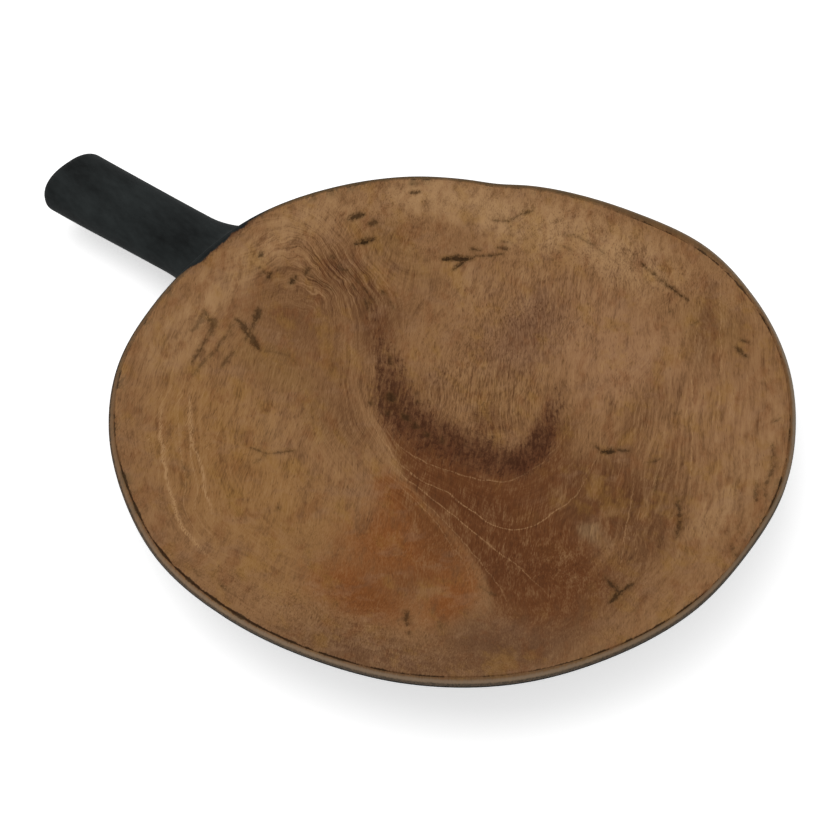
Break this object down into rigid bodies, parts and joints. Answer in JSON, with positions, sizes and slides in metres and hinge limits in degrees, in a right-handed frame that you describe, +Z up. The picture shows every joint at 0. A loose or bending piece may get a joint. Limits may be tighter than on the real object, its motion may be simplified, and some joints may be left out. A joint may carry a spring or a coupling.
{
  "type": "wooden serving platter",
  "caption": "Shallow round wooden serving platter with a natural wood well and lip, a black stained underside and one straight black grip.",
  "frame": {"origin": "centre of the flat foot, on the surface that the platter stands on", "axes": "+Z up through the well, -X along the handle towards its tip, +Y across the handle"},
  "size_m": [0.536, 0.4021, 0.05],
  "materials": {
    "natural_teak": "oiled, hand sanded, matte",
    "black_stained_wood": "matte black stain",
    "dowel_wood": "bare, cut to length"
  },
  "bodies": {
    "root": {"platter_dish": "natural_teak", "handle": "black_stained_wood", "handle_dowel_near": "dowel_wood", "handle_dowel_far": "dowel_wood"}
  },
  "joints": []
}
